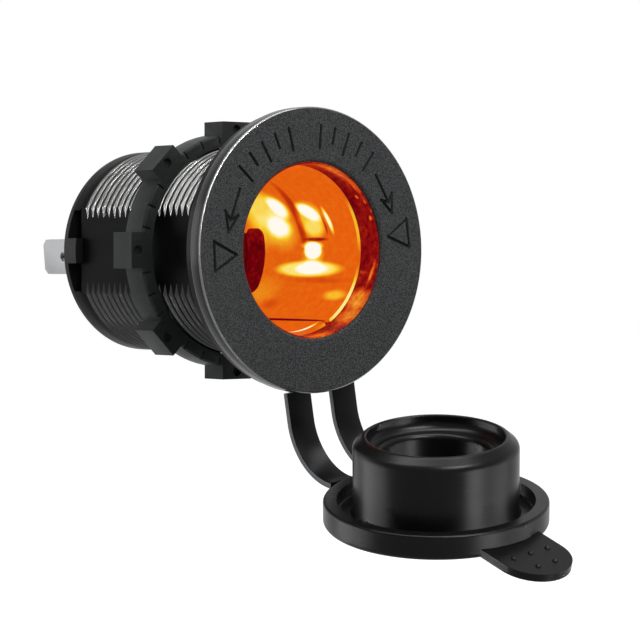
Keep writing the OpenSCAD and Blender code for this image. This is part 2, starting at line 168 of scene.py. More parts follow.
# Edges of the flange: glossy, and painted pale as a highlight along them
paleEdgeHighlightNylon = mouldedFinish("nylon edge with painted highlight", {
    "dark": "#4a4b4c", "light": "#5c5d5e", "cloud": 2.0, "grain": 0.4, "grainShare": 0.3,
    "strength": 0.1, "depth": 0.01, "rough": 0.2, "roughSpread": 0.03, "specular": 1.0})
# Nylon painted almost black as painted shade: on the flats, the smoothest part of the tool, and on
# the thread's crests, the bore and the collar
paintedShadeNylon = mouldedFinish("flat nylon", {
    "dark": "#0c0c0c", "light": "#141415", "cloud": 4.0, "grain": 0.6, "grainShare": 0.2,
    "strength": 0.05, "depth": 0.01, "rough": 0.4, "roughSpread": 0.04, "specular": 0.02})
# Acetal ring nut: satin, a shade lighter and slightly green
nutAcetal = mouldedFinish("nut acetal", {
    "dark": "#252727", "light": "#303232", "cloud": 2.4, "grain": 0.35, "grainShare": 0.35,
    "strength": 0.2, "depth": 0.02, "rough": 0.48, "roughSpread": 0.05, "specular": 0.1})
# Rear cover: plain black nylon
coverNylon = mouldedFinish("cover nylon", {
    "dark": "#121213", "light": "#1a1a1b", "cloud": 2.4, "grain": 0.35, "grainShare": 0.35,
    "strength": 0.2, "depth": 0.02, "rough": 0.42, "roughSpread": 0.05, "specular": 0.1})
# Compression-moulded rubber: deep black, with soft highlights
capRubber = mouldedFinish("cap rubber", {
    "dark": "#0b0b0c", "light": "#131314", "cloud": 5.0, "grain": 0.3, "grainShare": 0.4,
    "strength": 0.1, "depth": 0.015, "rough": 0.3, "roughSpread": 0.04, "specular": 0.07})
# The trimmed sides of the straps are painted pale: a painted highlight for the light that they
# catch
strapSideHighlight = mouldedFinish("strap side painted highlight", {
    "dark": "#7a7c80", "light": "#909296", "cloud": 1.5, "grain": 0.3, "grainShare": 0.4,
    "strength": 0.2, "depth": 0.02, "rough": 0.55, "roughSpread": 0.05, "specular": 0.15})
# Pressed phenolic board: brown with paler fibres
phenolic = mouldedFinish("phenolic board", {
    "dark": "#33241a", "light": "#4a3626", "cloud": 0.8, "grain": 0.15, "grainShare": 0.5,
    "strength": 0.3, "depth": 0.02, "rough": 0.5, "roughSpread": 0.05, "specular": 0.5})
# The lamp holder's plain nylon
paleNylon = mouldedFinish("pale nylon", {
    "dark": "#cfcab8", "light": "#e2ddcc", "cloud": 1.5, "grain": 0.3, "grainShare": 0.3,
    "strength": 0.2, "depth": 0.02, "rough": 0.45, "roughSpread": 0.05, "specular": 0.5})
# Resistor lacquer
lacquer = mouldedFinish("resistor lacquer", {
    "dark": "#7fa6b4", "light": "#93b8c4", "cloud": 1.0, "grain": 0.3, "grainShare": 0.3,
    "strength": 0.15, "depth": 0.02, "rough": 0.3, "roughSpread": 0.03, "specular": 0.5})


# Stamped sheet and turned rivets: bright metal with fine drawn lines along one axis
def metalFinish(name, look):
    material, tree, shader, place = newMaterial(name)
    lines = addNode(tree, "ShaderNodeMapping", inputs={"Vector": place, "Scale": look["stretch"]})
    drawn = addNode(tree, "ShaderNodeTexNoise", inputs={
        "Vector": lines.outputs["Vector"], "Scale": 1 / (look["line"] * mm), "Detail": 3.0})
    tone = addNode(tree, "ShaderNodeMix", {"data_type": "RGBA"}, {
        0: drawn.outputs["Fac"], 6: toLinear(look["dark"]), 7: toLinear(look["light"])})
    gloss = addNode(tree, "ShaderNodeMapRange", inputs={
        "Value": drawn.outputs["Fac"], "To Min": look["rough"] - look["roughSpread"],
        "To Max": look["rough"] + look["roughSpread"]})
    bump = addNode(tree, "ShaderNodeBump", inputs={
        "Strength": 0.2, "Distance": look["depth"] * mm, "Height": drawn.outputs["Fac"]})
    tree.links.new(tone.outputs[2], shader.inputs["Base Color"])
    tree.links.new(gloss.outputs["Result"], shader.inputs["Roughness"])
    tree.links.new(bump.outputs["Normal"], shader.inputs["Normal"])
    shader.inputs["Metallic"].default_value = 1.0
    return material


# Tin plate on the blades: pale, with faint marks of the strip's rolling
tinPlate = metalFinish("tin plate", {
    "dark": "#8d8e8f", "light": "#a0a1a2", "line": 0.25, "stretch": (1, 0.15, 1), "depth": 0.01,
    "rough": 0.5, "roughSpread": 0.05})
# Plain brass of the centre contact and its rivet
plainBrass = metalFinish("plain brass", {
    "dark": "#b8934a", "light": "#d8b866", "line": 0.3, "stretch": (1, 1, 1), "depth": 0.01,
    "rough": 0.3, "roughSpread": 0.06})
# Zinc-plated steel of the small rivet
zincPlate = metalFinish("zinc plate", {
    "dark": "#a4a6a4", "light": "#c4c6c4", "line": 0.3, "stretch": (1, 1, 1), "depth": 0.01,
    "rough": 0.34, "roughSpread": 0.06})

# Painted light: the glow, glints and reflections that the lamp throws round the shell's wall,
# painted into its emission and laid out flat.
# A patch has its depth behind the face and its way round from the right, its half sizes (mm), its
# turn (degrees), its softness, and what it adds to the base; patches that take away are painted
# shade.
shellGlow = {
    "radius": 10.7,
    "base": 0.42,
    "fleck": 0.9, "fleckLevel": 0.03,  # mm across, and what the flecks add
    "patches": (
        # the wide bloom at the left and its two cores
        (22.8, 6.2, 5.4, 3.4, 0, 0.6, 0.32),
        (24.0, 2.6, 3.6, 2.4, 0, 0.9, 0.20),
        (18.9, 6.3, 2.3, 1.6, 38, 0.6, 0.46),
        (19.8, 3.0, 3.3, 3.0, 0, 0.8, 0.24),
        (20.2, 3.2, 2.7, 1.6, 0, 0.8, 0.42),
        (15.7, 5.0, 0.9, 6.5, -4, 0.6, -0.16),
        # the bloom at the right with its curved edge
        (12.9, 4.4, 3.0, 2.9, 12, 0.4, 0.26),
        (13.0, 5.5, 2.5, 1.2, 25, 0.5, 0.42),
        (12.8, 3.0, 2.2, 1.6, 0, 0.5, 0.08),
        (9.3, 4.2, 0.5, 2.1, -12, 0.6, 0.50),
        (10.35, 3.8, 0.3, 1.7, -8, 0.6, -0.22),
        (12.8, 1.55, 2.6, 0.3, 0, 0.7, -0.30),
        # the upright spot of painted reflected light, wider above and below, and the bar that it
        # stands on
        (13.7, 0.7, 2.5, 0.6, 0, 0.5, 0.36),
        (13.6, 0.0, 2.0, 1.15, 0, 0.35, 0.56),
        (13.6, -0.4, 2.4, 1.9, 0, 0.6, 0.24),
        (13.6, -1.5, 2.6, 0.7, 0, 0.7, 0.10),
        (13.6, -2.45, 3.6, 0.8, 0, 0.5, 0.36),
        (14.2, -2.5, 7.4, 1.2, 0, 0.35, 0.38),
        (11.0, -4.1, 7.0, 0.5, 0, 0.9, -0.07),
        # low on the right: painted light on the front edge and the lower lip of the seam, and
        # painted shade along the seam and beside it
        (6.8, -6.3, 2.6, 0.9, 0, 0.7, 0.24),
        (4.0, -7.4, 0.14, 5.0, 0, 0.7, 0.42),
        (4.0, 3.4, 0.14, 3.5, 0, 0.6, 0.22),
        (5.5, -14.6, 0.45, 3.0, 0, 0.6, 0.60),
        (14.0, -11.15, 11.0, 0.3, 0, 0.3, -0.28),
        (23.0, -6.0, 4.4, 2.6, 0, 0.9, 0.09),
        (19.5, -7.9, 2.2, 1.0, 0, 0.9, -0.07),
        (24.0, 12.0, 6.0, 3.0, 0, 0.9, -0.05),
        # shade beside the window's far edge
        (28.75, -1.35, 0.5, 5.2, 0, 0.2, -0.38),
    ),
    "ramp": ((0.0, "#2a0206"), (0.15, "#6a0410"), (0.3, "#c03a0c"), (0.42, "#e3620f"),
             (0.56, "#ee9a1e"), (0.7, "#f6cf2e"), (0.84, "#fdf08c"), (0.97, "#fffdf2")),
}


# Depth behind the face and the way round the wall, both in mm, as one vector
def wrapPlace(tree, place, radius):
    split = addNode(tree, "ShaderNodeSeparateXYZ", inputs={"Vector": place})
    angle = addNode(tree, "ShaderNodeMath", {"operation": "ARCTAN2"}, {
        0: split.outputs["Z"], 1: split.outputs["X"]})
    way = addNode(tree, "ShaderNodeMath", {"operation": "MULTIPLY"}, {
        0: angle.outputs[0], 1: radius})
    depth = addNode(tree, "ShaderNodeMath", {"operation": "MULTIPLY_ADD"}, {
        0: split.outputs["Y"], 1: 1 / mm, 2: -faceY})
    return addNode(tree, "ShaderNodeCombineXYZ", inputs={
        "X": depth.outputs[0], "Y": way.outputs[0]}).outputs["Vector"]


# Adds patches of painted light and shade to a base level and colours the sum as a painted glow.
# Each patch fades from a little outside its outline to its full strength inside it
def glowColour(tree, place, glow):
    wrapped = wrapPlace(tree, place, glow["radius"])
    flecks = addNode(tree, "ShaderNodeTexNoise", inputs={
        "Vector": place, "Scale": 1 / (glow["fleck"] * mm), "Detail": 3.0, "Roughness": 0.6})
    total = addNode(tree, "ShaderNodeMapRange", inputs={
        "Value": flecks.outputs["Fac"], "From Min": noiseLow, "From Max": noiseHigh,
        "To Min": glow["base"] - glow["fleckLevel"] / 2,
        "To Max": glow["base"] + glow["fleckLevel"] / 2}).outputs["Result"]
    for depth, way, halfDepth, halfWay, turn, soft, added in glow["patches"]:
        local = addNode(tree, "ShaderNodeMapping", {"vector_type": "TEXTURE"}, {
            "Vector": wrapped, "Location": (depth, way, 0),
            "Rotation": (0, 0, math.radians(turn)), "Scale": (halfDepth, halfWay, 1)})
        reach = addNode(tree, "ShaderNodeVectorMath", {"operation": "LENGTH"}, {
            0: local.outputs["Vector"]})
        level = addNode(tree, "ShaderNodeMapRange", {"interpolation_type": "SMOOTHSTEP"}, {
            "Value": reach.outputs["Value"], "From Min": 1 + soft / 3, "From Max": 1 - soft,
            "To Min": 0.0, "To Max": added})
        total = addNode(tree, "ShaderNodeMath", {"operation": "ADD"}, {
            0: level.outputs["Result"], 1: total}).outputs[0]
    ramp = addNode(tree, "ShaderNodeValToRGB", inputs={"Fac": total})
    stops = ramp.color_ramp.elements
    while len(stops) < len(glow["ramp"]):
        stops.new(0.5)
    for stop, (at, colour) in zip(stops, glow["ramp"]):
        stop.position = at
        stop.color = toLinear(colour)
    return ramp.outputs["Color"]


# Nickel-plated steel with the amber light of the lamp painted on: an orange base and tint, and the
# painted glow in its emission
def makeShellPlate():
    material, tree, shader, place = newMaterial("lit nickel plate")
    shader.inputs["Base Color"].default_value = toLinear("#5a2a18")
    shader.inputs["Metallic"].default_value = 1.0
    shader.inputs["Roughness"].default_value = 0.36
    shader.inputs["Specular Tint"].default_value = toLinear("#a8481c")
    shader.inputs["Emission Strength"].default_value = 0.96
    tree.links.new(glowColour(tree, place, shellGlow), shader.inputs["Emission Color"])
    return material


# Clear amber acrylic with the lamp at its far end, its glow painted into the emission: dark red
# where it is seen edge on, with painted shade and painted sparks of light
sleeveGlow = {
    "radius": 11.2,
    "base": 0.31,
    "fleck": 0.8, "fleckLevel": 0.16,
    "patches": (
        # painted shade on the part behind the window, darker below its middle
        (26.5, -2.6, 4.0, 4.2, 0, 0.2, -0.14),
        (26.5, 2.0, 4.0, 1.6, 0, 0.3, -0.06),
        # painted orange light above and below, and painted shade, darkest beside the shell's edge
        # at the right
        (1.2, 13.5, 1.3, 4.0, 0, 0.8, 0.30),
        (0.9, 9.5, 0.5, 2.0, 0, 0.8, 0.25),
        (3.6, 9.0, 1.2, 4.0, 0, 0.9, -0.10),
        (3.9, 5.6, 1.2, 1.6, 0, 0.9, -0.10),
        (3.2, -1.3, 1.4, 2.0, 0, 0.9, -0.08),
        (1.4, 2.0, 2.0, 2.5, 0, 0.9, -0.04),
        # painted sparks of light seen through the acrylic
        (2.0, 7.6, 0.35, 0.35, 0, 0.8, 0.35),
        (0.9, 6.9, 0.25, 0.5, 0, 0.8, 0.22),
        (1.1, 4.4, 0.35, 0.45, 30, 0.8, 0.42),
        (0.5, 5.4, 0.25, 0.35, 0, 0.8, 0.22),
        (1.4, -3.0, 0.35, 1.9, 12, 0.7, 0.36),
        (3.2, -2.9, 0.8, 0.35, 0, 0.8, 0.18),
        # painted light on the lower right, with a little painted shade
        (2.2, -6.8, 2.6, 1.8, 0, 0.7, 0.42),
        (1.6, -9.8, 2.8, 2.4, 0, 0.9, 0.40),
        (1.0, -5.2, 0.5, 1.2, 20, 0.8, -0.10),
        (2.6, -12.5, 3.0, 1.5, 0, 0.9, -0.04),
        (1.2, -16.0, 2.0, 3.0, 0, 0.8, 0.30),
    ),
    "ramp": ((0.0, "#2c0006"), (0.2, "#6c000c"), (0.35, "#98140f"), (0.55, "#d64c14"),
             (0.75, "#f08a24"), (1.0, "#ffd060")),
}


def makeAmberAcrylic():
    material, tree, shader, place = newMaterial("amber acrylic")
    shader.inputs["Base Color"].default_value = toLinear("#3a0a04")
    shader.inputs["Roughness"].default_value = 0.16
    shader.inputs["Specular IOR Level"].default_value = 0.01
    shader.inputs["Emission Strength"].default_value = 0.9
    tree.links.new(glowColour(tree, place, sleeveGlow), shader.inputs["Emission Color"])
    return material


# Tinted epoxy of the lit lamp
def makeLampResin():
    material, tree, shader, place = newMaterial("lamp resin")
    cloud = addNode(tree, "ShaderNodeTexNoise", inputs={
        "Vector": place, "Scale": 1 / mm, "Detail": 2.0})
    tone = addNode(tree, "ShaderNodeMix", {"data_type": "RGBA"}, {
        0: cloud.outputs["Fac"], 6: toLinear("#ff8a1c"), 7: toLinear("#ffc04a")})
    tree.links.new(tone.outputs[2], shader.inputs["Base Color"])
    tree.links.new(tone.outputs[2], shader.inputs["Emission Color"])
    shader.inputs["Roughness"].default_value = 0.12
    shader.inputs["Emission Strength"].default_value = 2.0
    return material


shellPlate = makeShellPlate()
amberAcrylic = makeAmberAcrylic()
lampResin = makeLampResin()
print("materials made")


# CAD nodes that keep their own mesh and get a finish
finishes = {
    "light_sleeve": amberAcrylic,
    "shell": shellPlate,
    "base_insulator": phenolic,
    "centre_contact": plainBrass,
    "contact_rivet": plainBrass,
    "negative_rivet": zincPlate,
    "lamp_holder": paleNylon,
    "lamp": lampResin,
    "resistor": lacquer,
    "sealing_ring": capRubber,
    "cap": capRubber,
}
for name, finish in finishes.items():
    nodes[name].data.materials.clear()
    nodes[name].data.materials.append(finish)


# Makes a bmesh an object of the scene
def linkPiece(bm, name, materials):
    mesh = bpy.data.meshes.new(name)
    bm.to_mesh(mesh)
    bm.free()
    piece = bpy.data.objects.new(name, mesh)
    bpy.context.scene.collection.objects.link(piece)
    for material in materials:
        mesh.materials.append(material)
    return piece


mergeDistance = 0.0005  # mm, well below any real edge


# A copy of a CAD node whose loose triangles are joined
def copyNode(node):
    bm = bmesh.new()
    bm.from_mesh(nodes[node].data)
    bmesh.ops.remove_doubles(bm, verts=bm.verts, dist=mergeDistance * mm)
    return bm


def shadeSmooth(piece, angle):
    for face in piece.data.polygons:
        face.use_smooth = True
    piece.data.set_sharp_from_angle(angle=math.radians(angle))


def applyModifiers(piece):
    depsgraph = bpy.context.evaluated_depsgraph_get()
    mesh = bpy.data.meshes.new_from_object(piece.evaluated_get(depsgraph))
    piece.modifiers.clear()
    old = piece.data
    piece.data = mesh
    bpy.data.meshes.remove(old)


# Marks sunk into the face: two triangles, two slim arrows, and plain index strokes.
# Angles run from the marks' own middle line, which leans a little to the left.
faceMarks = {
    "lean": 5.6,
    "depth": 0.26,
    "width": 0.44,
    "floorShare": 0.12, "mouthShare": 1.15,  # of the width, at the bottom and the top
    "above": 0.06,  # how far the cutter stands out of the face
    "triangleR": 16.1, "triangleAngle": 87.3, "triangleHalf": 1.85, "triangleReach": 3.5,
    "arrowTail": (14.33, 52.0), "arrowTip": (14.07, 75.0), "arrowNotch": (14.05, 68.8),
    "arrowWings": ((15.14, 65.7), (13.09, 65.2)),
    "strokeAngles": (9.5, 18, 26.5, 35, 43.5),
    "strokeR": (13.3, 16.1), "shortR": (14.2, 16.1),
}


# A groove's cutter: a bar that narrows towards the bottom
def addStroke(bm, start, end, look):
    run = Vector(end) - Vector(start)
    made = bmesh.ops.create_cube(bm, size=1.0)["verts"]
    half = look["width"] / 2
    for v in made:
        sunk = v.co.z > 0
        share = look["floorShare"] if sunk else look["mouthShare"]
        v.co.x *= run.length + 2 * half * share
        v.co.y *= look["width"] * share
        v.co.z = look["depth"] if sunk else -look["above"]
    # local z runs into the face, which is world +Y
    turn = Matrix.Rotation(math.atan2(run.y, run.x), 4, "Z")
    stand = Matrix(((1, 0, 0, 0), (0, 0, 1, 0), (0, 1, 0, 0), (0, 0, 0, 1)))
    middle = (Vector(start) + Vector(end)) / 2
    place = Matrix.Translation((middle.x, faceY, middle.y))
    bmesh.ops.transform(bm, matrix=Matrix.Scale(mm, 4) @ place @ stand @ turn, verts=made)


# The strokes of the marks on one side: side is -1 for the left and 1 for the right
def markStrokes(look, side):
    def at(radius, angle):
        a = math.radians(90 + look["lean"] - side * angle)
        return Vector((radius * math.cos(a), radius * math.sin(a)))

    base = at(look["triangleR"], look["triangleAngle"])
    inward = -base.normalized()
    across = Vector((-inward.y, inward.x)) * look["triangleHalf"]
    corners = [base + across, base - across, base + inward * look["triangleReach"]]
    strokes = [(corners[i], corners[(i + 1) % 3]) for i in range(3)]
    tip, notch = at(*look["arrowTip"]), at(*look["arrowNotch"])
    strokes.append((at(*look["arrowTail"]), notch))
    for wing in look["arrowWings"]:
        strokes += [(notch, at(*wing)), (at(*wing), tip)]
    for i, angle in enumerate(look["strokeAngles"]):
        inner, outer = look["shortR"] if i % 2 else look["strokeR"]
        strokes.append((at(inner, angle), at(outer, angle)))
    return strokes


# Housing: sizes in mm, depths from the face
housing = {
    "faceR": 18.5, "flange": 1.9, "faceBevel": 0.2,
    "mouthR": 11.4, "mouthBevel": 0.3, "lip": 0.6, "boreR": 11.8,
    "crestR": 13.75, "rootR": 13.2, "pitch": 1.28, "flank": 0.404, "rootFlat": 0.1,
    "threadStart": 3.68, "threadTurns": 24, "collar": 34.4, "barrelEnd": 36.6, "seat": 3.1,
    "flatX": 12.45, "notchStart": 35.1, "notchHalf": 5.536,
    "notchReach": 2, "past": 1, "overlap": 0.01,  # of the cutters, beyond the piece
    "steps": 180, "smoothAngle": 30,
    "bevelRound": 0.05, "edgeRound": 0.12, "crestRound": 0.035, "mouthRound": 0.06,
    "near": 0.05, "hair": 0.001,  # how close to a surface still counts as on it
}


# The section that is turned into the housing: radius, depth, and rounding of each corner
def housingSection(look):
    points = [
        (look["mouthR"] + look["mouthBevel"], 0, look["mouthRound"]),
        (look["faceR"] - look["faceBevel"], 0, look["bevelRound"]),
        (look["faceR"], look["faceBevel"], look["bevelRound"]),
        (look["faceR"], look["flange"], look["edgeRound"]),
        (look["crestR"], look["flange"], 0),
    ]
    for i in range(look["threadTurns"]):
        start = look["threadStart"] + i * look["pitch"]
        points += [
            (look["crestR"], start, look["crestRound"]),
            (look["rootR"], start + look["flank"], 0),
            (look["rootR"], start + look["flank"] + look["rootFlat"], 0),
            (look["crestR"], start + 2 * look["flank"] + look["rootFlat"], look["crestRound"]),
        ]
    return points + [
        (look["crestR"], look["barrelEnd"], look["edgeRound"]),
        (look["boreR"], look["barrelEnd"], 0),
        (look["boreR"], look["lip"], 0),
        (look["mouthR"], look["lip"], 0),
        (look["mouthR"], look["mouthBevel"], look["mouthRound"]),
    ]


# Turns a closed section of (radius, depth, rounding) about the socket's axis
def turnSection(points, steps):
    bm = bmesh.new()
    verts = [bm.verts.new((r, depth + faceY, 0)) for r, depth, rounding in points]
    edges = [bm.edges.new((verts[i - 1], verts[i])) for i in range(len(verts))]
    for width in sorted({p[2] for p in points} - {0}):
        corners = [v for v, p in zip(verts, points) if p[2] == width and v.is_valid]
        bmesh.ops.bevel(bm, geom=corners, offset=width, affect="VERTICES", segments=2,
                        profile=0.5, material=-1)
    bmesh.ops.spin(bm, geom=bm.verts[:] + bm.edges[:], cent=(0, 0, 0), axis=(0, 1, 0),
                   dvec=(0, 0, 0), angle=math.tau, steps=steps, use_merge=True,
                   use_duplicate=False)
    bmesh.ops.recalc_face_normals(bm, faces=bm.faces)
    return bm


# A box between two corners in mm
def addBox(bm, low, high):
    made = bmesh.ops.create_cube(bm, size=1.0)["verts"]
    low, high = Vector(low) * mm, Vector(high) * mm
    bmesh.ops.scale(bm, vec=high - low, verts=made)
    bmesh.ops.translate(bm, vec=(low + high) / 2, verts=made)


# Joins the closed shapes of a mesh to a piece, or cuts the piece by them
def combine(piece, other, operation, crossing=False):
    bmesh.ops.recalc_face_normals(other, faces=other.faces)
    tool = linkPiece(other, "cutter", piece.data.materials)
    step = piece.modifiers.new("step", "BOOLEAN")
    step.operation = operation
    step.object = tool
    step.solver = "EXACT"
    step.use_self = crossing
    applyModifiers(piece)
    bpy.data.objects.remove(tool)


# Cuts the face marks and the barrel's flats and notches into the turned housing
def cutHousing(piece, look):
    far = look["faceR"]
    for side in (-1, 1):
        xs = sorted((side * look["flatX"], side * far))
        cutter = bmesh.new()
        addBox(cutter, (xs[0], look["seat"] + faceY, -far),
               (xs[1], look["notchStart"] + faceY, far))
        combine(piece, cutter, "DIFFERENCE")
        xs = sorted((side * (look["boreR"] - look["notchReach"]), side * far))
        cutter = bmesh.new()
        addBox(cutter, (xs[0], look["notchStart"] + faceY - look["overlap"], -look["notchHalf"]),
               (xs[1], look["barrelEnd"] + look["past"] + faceY, look["notchHalf"]))
        combine(piece, cutter, "DIFFERENCE")
    first, others = bmesh.new(), bmesh.new()
    strokes = markStrokes(faceMarks, -1) + markStrokes(faceMarks, 1)
    addStroke(first, *strokes[0], faceMarks)
    for start, end in strokes[1:]:
        addStroke(others, start, end, faceMarks)
    bmesh.ops.recalc_face_normals(first, faces=first.faces)
    marks = linkPiece(first, "marks", piece.data.materials)
    combine(marks, others, "UNION", crossing=True)
    joined = bmesh.new()
    joined.from_mesh(marks.data)
    combine(piece, joined, "DIFFERENCE")
    bpy.data.objects.remove(marks)


housingFinishes = [grainedNylon, threadNylon, paintedShadeNylon, paleEdgeHighlightNylon, sideNylon]


# Finish of one face of the housing, from where it lies and which way it looks
def housingFinish(centre, normal, look):
    radius = math.hypot(centre.x, centre.z)
    depth = centre.y - faceY
    near = look["near"]
    onFlat = abs(normal.x) > 0.99 and abs(abs(centre.x) - look["flatX"]) < near
    inBore = radius < look["boreR"] + near and depth > look["lip"]
    onCrest = depth > look["flange"] and radius > look["crestR"] - 0.01 and abs(normal.y) < 0.1
    # The flats, the thread's crests, the bore and the collar get painted shade
    if onFlat or inBore or onCrest or depth > look["collar"]:
        return paintedShadeNylon
    # The flange's bevelled edges get the pale nylon: a painted highlight
    if 0.1 < abs(normal.y) < 0.97 and radius > look["faceR"] - look["faceBevel"] - 2 * near:
        return paleEdgeHighlightNylon
    outsideMouth = radius > look["mouthR"] + look["mouthBevel"] + 4 * near
    inMark = look["hair"] < depth < 2 * faceMarks["depth"] and outsideMouth
    if inMark or radius > look["faceR"] - 0.01:
        return sideNylon
    if depth > look["flange"] + look["hair"]:
        return threadNylon
    return grainedNylon


def makeHousing():
    look = housing
    bm = turnSection(housingSection(look), look["steps"])
    bmesh.ops.scale(bm, vec=(mm, mm, mm), verts=bm.verts)
    piece = linkPiece(bm, "housing_marked", housingFinishes)
    cutHousing(piece, look)
    for face in piece.data.polygons:
        finish = housingFinish(face.center / mm, face.normal, look)
        face.material_index = housingFinishes.index(finish)
    shadeSmooth(piece, look["smoothAngle"])
    for face in piece.data.polygons:
        if max(abs(face.normal.x), abs(face.normal.y)) > 0.9999:
            face.use_smooth = False  # the face and the flats are truly flat
    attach(piece, "root")
    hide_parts("housing")
    print("housing made:", len(piece.data.polygons), "faces")


makeHousing()


# Rigid pieces whose edges the mould or the tool leaves slightly round. Width in mm
softEdges = {
    "panel_nut": {
        "name": "panel_nut_soft", "body": "nut", "slot": "nut_plastic", "width": 0.14,
        "finish": nutAcetal},
    "rear_cover": {
        "name": "rear_cover_soft", "body": "root", "slot": "cover_plastic", "width": 0.08,
        "finish": coverNylon},
    "negative_terminal": {
        "name": "negative_blade_soft", "body": "root", "slot": "tinned_brass", "width": 0.1,
        "finish": tinPlate},
    "positive_terminal": {
        "name": "positive_blade_soft", "body": "root", "slot": "tinned_brass", "width": 0.1,
        "finish": tinPlate},
}


softAngles = {"flat": 1, "edge": 40, "smooth": 25}  # degrees


# Joins the triangles of each flat face, so that the bevel finds only the real edges
def softenNode(node, look):
    bm = copyNode(node)
    bmesh.ops.dissolve_limit(bm, angle_limit=math.radians(softAngles["flat"]),
                             verts=bm.verts, edges=bm.edges)
    piece = linkPiece(bm, look["name"], [look["finish"]])
    bevel = piece.modifiers.new("soft edges", "BEVEL")
    bevel.width = look["width"] * mm
    bevel.segments = 2
    bevel.limit_method = "ANGLE"
    bevel.angle_limit = math.radians(softAngles["edge"])
    applyModifiers(piece)
    shadeSmooth(piece, softAngles["smooth"])
    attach(piece, look["body"])
    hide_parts(node)


for node, look in softEdges.items():
    softenNode(node, look)
print("edges softened")


# Straps: side view in mm in the moulding's own frame, y back and z up. The moulding sits
# a few degrees round from upright
strap = {
    "turn": 9.3, "width": 3.95, "gap": 3.5, "thickness": 0.85, "round": 0.16,
    "top": -17.9, "bendTop": -21.8, "bendR": 7.9, "lean": 10.2, "sink": 0.5,
    "straightSteps": 10, "bendSteps": 28, "split": 0.42, "smoothAngle": 50,
}


# The middle line of both straps, from under the ring to inside the cap's rim
def strapLine(look):
    y0 = -look["thickness"] / 2
    drop = look["bendTop"] - look["top"]
    points = [Vector((0, y0, look["top"] + drop * i / look["straightSteps"]))
              for i in range(look["straightSteps"])]
    span = math.radians(90 - look["lean"])
    centre = Vector((0, y0 - look["bendR"], look["bendTop"]))
    for i in range(look["bendSteps"] + 1):
        a = span * i / look["bendSteps"]
        points.append(centre + Vector((0, math.cos(a), -math.sin(a))) * look["bendR"])
    last = (points[-1] - points[-2]).normalized()
    points.append(points[-1] + last * look["sink"])
    return points


# One half of a strap: its section is swept along the line by extruding ring by ring
def sweepStrap(name, line, middleX, look):
    bm = bmesh.new()
    section = bmesh.ops.create_grid(bm, x_segments=1, y_segments=1, size=0.5)["verts"]
    size = Matrix.Diagonal((look["width"], look["thickness"], 1, 1))
    bmesh.ops.transform(bm, matrix=size, verts=section)
    bmesh.ops.bevel(bm, geom=section, offset=look["round"], affect="VERTICES", segments=3,
                    profile=0.5, material=-1)
    face = max(bm.faces, key=lambda f: f.calc_area())
    frames = []
    for i, point in enumerate(line):
        ahead = line[min(i + 1, len(line) - 1)] - line[max(i - 1, 0)]
        along = ahead.normalized()
        front = Vector((0, along.z, -along.y))
        frames.append(Matrix((
            (1, 0, 0, middleX), (0, front.y, along.y, point.y), (0, front.z, along.z, point.z),
            (0, 0, 0, 1))))
    bmesh.ops.transform(bm, matrix=frames[0], verts=bm.verts)
    for before, after in zip(frames, frames[1:]):
        made = bmesh.ops.extrude_face_region(bm, geom=[face])["geom"]
        face = next(g for g in made if isinstance(g, bmesh.types.BMFace))
        verts = [g for g in made if isinstance(g, bmesh.types.BMVert)]
        bmesh.ops.transform(bm, matrix=after @ before.inverted(), verts=verts)
    bm.normal_update()
    for f in bm.faces:
        f.material_index = 1 if abs(f.normal.x) > 0.8 else 0  # the trimmed sides, which carry the painted highlight
    turn = Matrix.Rotation(math.radians(-look["turn"]), 4, "Y")
    bmesh.ops.transform(bm, matrix=Matrix.Scale(mm, 4) @ turn, verts=bm.verts)
    bmesh.ops.recalc_face_normals(bm, faces=bm.faces)
    piece = linkPiece(bm, name, [capRubber, strapSideHighlight])
    shadeSmooth(piece, look["smoothAngle"])
    return piece


# Each strap is two pieces, because it crosses two joints
def makeStraps():
    line = strapLine(strap)
    half = int(len(line) * strap["split"])
    offset = (strap["gap"] + strap["width"]) / 2
    for side, sideName in ((-1, "left"), (1, "right")):
        middleX = side * offset
        ringHalf = sweepStrap(f"strap_{sideName}_ring_end", line[:half + 1], middleX, strap)
        capHalf = sweepStrap(f"strap_{sideName}_cap_end", line[half:], middleX, strap)
        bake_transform(ringHalf)
        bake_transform(capHalf)
        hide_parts(f"strap_{sideName}")
    print("straps made")


makeStraps()

# Studio: a pale floor well below the socket, a white surround and soft lamps
studio = {
    "floorZ": -70, "floorSize": 6000,  # mm
    "floorTone": "#b8b8b8", "floorGlow": 0.85,
    "surround": 0.12,  # the light that the white surround sheds
    "lampDistance": 700,  # mm
}


# 1 for what the camera, a reflection or glass shows, 0 for the light that falls on things
def seenFactor(tree):
    path = addNode(tree, "ShaderNodeLightPath")
    both = addNode(tree, "ShaderNodeMath", {"operation": "MAXIMUM"}, {
        0: path.outputs["Is Camera Ray"], 1: path.outputs["Is Glossy Ray"]})
    return addNode(tree, "ShaderNodeMath", {"operation": "MAXIMUM"}, {
        0: both.outputs[0], 1: path.outputs["Is Transmission Ray"]}).outputs[0]


def makeSurround():
    world = bpy.data.worlds.new("surround")
    bpy.context.scene.world = world
    world.use_nodes = True
    tree = world.node_tree
    level = addNode(tree, "ShaderNodeMapRange", inputs={
        "Value": seenFactor(tree), "To Min": studio["surround"], "To Max": 1.0})
    background = tree.nodes["Background"]
    background.inputs["Color"].default_value = (1, 1, 1, 1)
    tree.links.new(level.outputs["Result"], background.inputs["Strength"])


